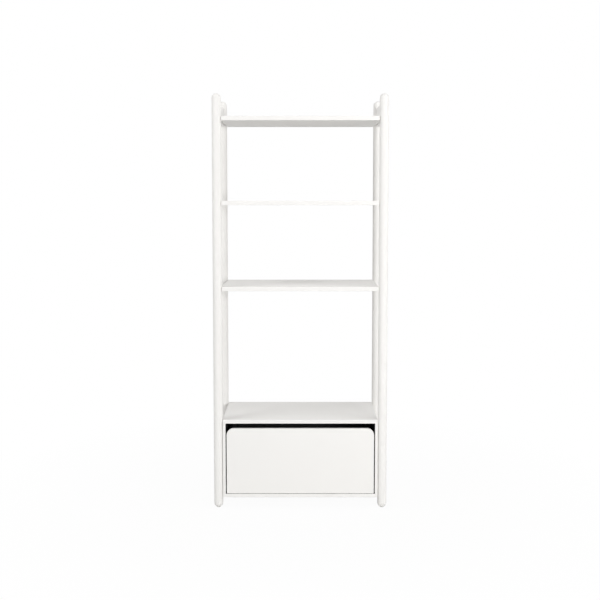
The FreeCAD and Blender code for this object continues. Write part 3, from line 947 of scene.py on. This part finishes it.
# ---------------------------------------------------------------------------------------------
# Studio
# ---------------------------------------------------------------------------------------------
@dataclass(frozen=True)
class SoftBox:
    """A square area light.

    Args:
        name: its name.
        place: where it stands, in metres.
        aim: the point that it faces.
        size: the length of its sides, in metres.
        power: in watts.
    """

    name: str
    place: tuple[float, float, float]
    aim: tuple[float, float, float]
    size: float
    power: float

    def build(self) -> bpy.types.Object:
        """Return the light."""
        lamp = bpy.data.lights.new(self.name, "AREA")
        lamp.shape = "SQUARE"
        lamp.size = self.size
        lamp.energy = self.power
        made = bpy.data.objects.new(self.name, lamp)
        bpy.context.scene.collection.objects.link(made)
        made.location = self.place
        facing = Vector(self.aim) - Vector(self.place)
        made.rotation_euler = facing.to_track_quat("-Z", "Y").to_euler()
        return made


@dataclass
class Studio:
    """The floor, the light and the camera.

    Args:
        frame_size: the image's sides, in pixels.
        focal_pixels: focal length, in pixels.
        camera_place: where the camera stands, in metres.
        pitch: how far it looks down.
        principal: the image's principal point, in pixels from its upper left corner.
        sensor: width of the camera's sensor, in millimetres.
        floor_half: half the floor's width.
        floor_tone: colour of the floor.
        floor_glow: share of white that is seen in the floor near the object.
        fade_start: distance at which the floor starts to fade to white.
        fade_end: distance from which it is white.
        ambient: strength of the even light from all round.
        boxes: the lamps.
    """

    frame_size: float = 600.0
    focal_pixels: float = 889.2
    camera_place: tuple[float, float, float] = (-0.0077, -3.841, 1.2924)
    pitch: float = math.radians(4.14)
    principal: tuple[float, float] = (298.45, 265.1)
    sensor: float = 36.0
    floor_half: float = 9.0
    floor_tone: tuple = rgb(217, 217, 216)
    floor_glow: float = 0.96
    fade_start: float = 0.4
    fade_end: float = 1.6
    ambient: float = 0.40
    boxes: tuple[SoftBox, ...] = (
        SoftBox("key_light", (2.3, -3.98, 1.25), (0, 0, 0.85), 1.3, 86.0),
        SoftBox("side_light", (3.98, -2.3, 1.25), (0, 0, 0.85), 1.3, 3.0),
        SoftBox("front_light", (0, -4.6, 1.25), (0, 0, 0.85), 1.3, 6.0),
        SoftBox("fill_light", (-3.98, -2.3, 1.25), (0, 0, 0.85), 1.3, 23.0),
        SoftBox("high_left_light", (-2.6, -1.4, 3.9), (0, 0, 0.8), 1.5, 44.0),
        SoftBox("high_right_light", (2.6, -1.4, 3.9), (0, 0, 0.8), 1.5, 36.0),
        SoftBox("back_light", (0, 3.4, 2.6), (0, 0, 0.8), 1.5, 17.0),
    )

    def seen(self, shader: Shader) -> bpy.types.NodeSocket:
        """Return 1 for rays that show the surroundings and 0 for rays that light the object."""
        path = shader.add("LightPath").outputs
        seen = shader.math("MAXIMUM", path["Is Camera Ray"], path["Is Glossy Ray"])
        return shader.math("MAXIMUM", seen, path["Is Transmission Ray"])

    def world(self) -> None:
        """Light the object evenly and show white behind it."""
        world = bpy.data.worlds.new("studio")
        world.use_nodes = True
        bpy.context.scene.world = world
        shader = Shader(world.node_tree)
        world.node_tree.nodes.clear()
        glow = shader.add("Background", {"Color": WHITE, "Strength": self.ambient}).outputs[0]
        white = shader.add("Background", {"Color": WHITE, "Strength": 1.0}).outputs[0]
        both = shader.add("MixShader", {0: self.seen(shader), 1: glow, 2: white}).outputs[0]
        shader.add("OutputWorld", {"Surface": both})

    def floor(self) -> None:
        """Lay a pale floor that keeps the object's shadow near it and fades to white further off."""
        mesh = bmesh.new()
        bmesh.ops.create_grid(mesh, x_segments=1, y_segments=1, size=self.floor_half)
        floor = as_object(mesh, "floor")
        made = bpy.data.materials.new("floor")
        made.use_nodes = True
        shader = Shader(made.node_tree)
        made.node_tree.nodes.clear()
        plain = shader.add("BsdfDiffuse", {"Color": self.floor_tone}).outputs[0]
        white = shader.add("Emission", {"Color": WHITE, "Strength": 1.0}).outputs[0]
        away = shader.add("VectorMath", {0: shader.place(EVEN)}, operation="LENGTH").outputs["Value"]
        limits = {1: self.fade_start, 2: self.fade_end, 3: self.floor_glow, 4: 1.0}
        fade = shader.add("MapRange", {0: away, **limits})
        share = shader.math("MULTIPLY", self.seen(shader), fade.outputs[0])
        both = shader.add("MixShader", {0: share, 1: plain, 2: white}).outputs[0]
        shader.add("OutputMaterial", {"Surface": both})
        floor.data.materials.append(made)

    def camera(self) -> None:
        """Set the camera in front of the bookcase, a little above its middle."""
        lens = bpy.data.cameras.new("camera")
        lens.sensor_width = self.sensor
        lens.lens = self.focal_pixels / self.frame_size * self.sensor
        lens.shift_x = (self.frame_size / 2 - self.principal[0]) / self.frame_size
        lens.shift_y = (self.principal[1] - self.frame_size / 2) / self.frame_size
        made = bpy.data.objects.new("camera", lens)
        bpy.context.scene.collection.objects.link(made)
        made.location = self.camera_place
        made.rotation_euler = (math.pi / 2 - self.pitch, 0, 0)
        bpy.context.scene.camera = made

    def build(self) -> None:
        """Build the studio."""
        self.world()
        self.floor()
        self.camera()
        for box in self.boxes:
            box.build()
        bpy.context.scene.view_settings.view_transform = "Standard"


def main() -> None:
    """Build the bookcase and its studio."""
    logging.basicConfig(level=logging.INFO, format="%(message)s")
    Bookcase().build()
    Studio().build()


if __name__ == "__main__":
    main()
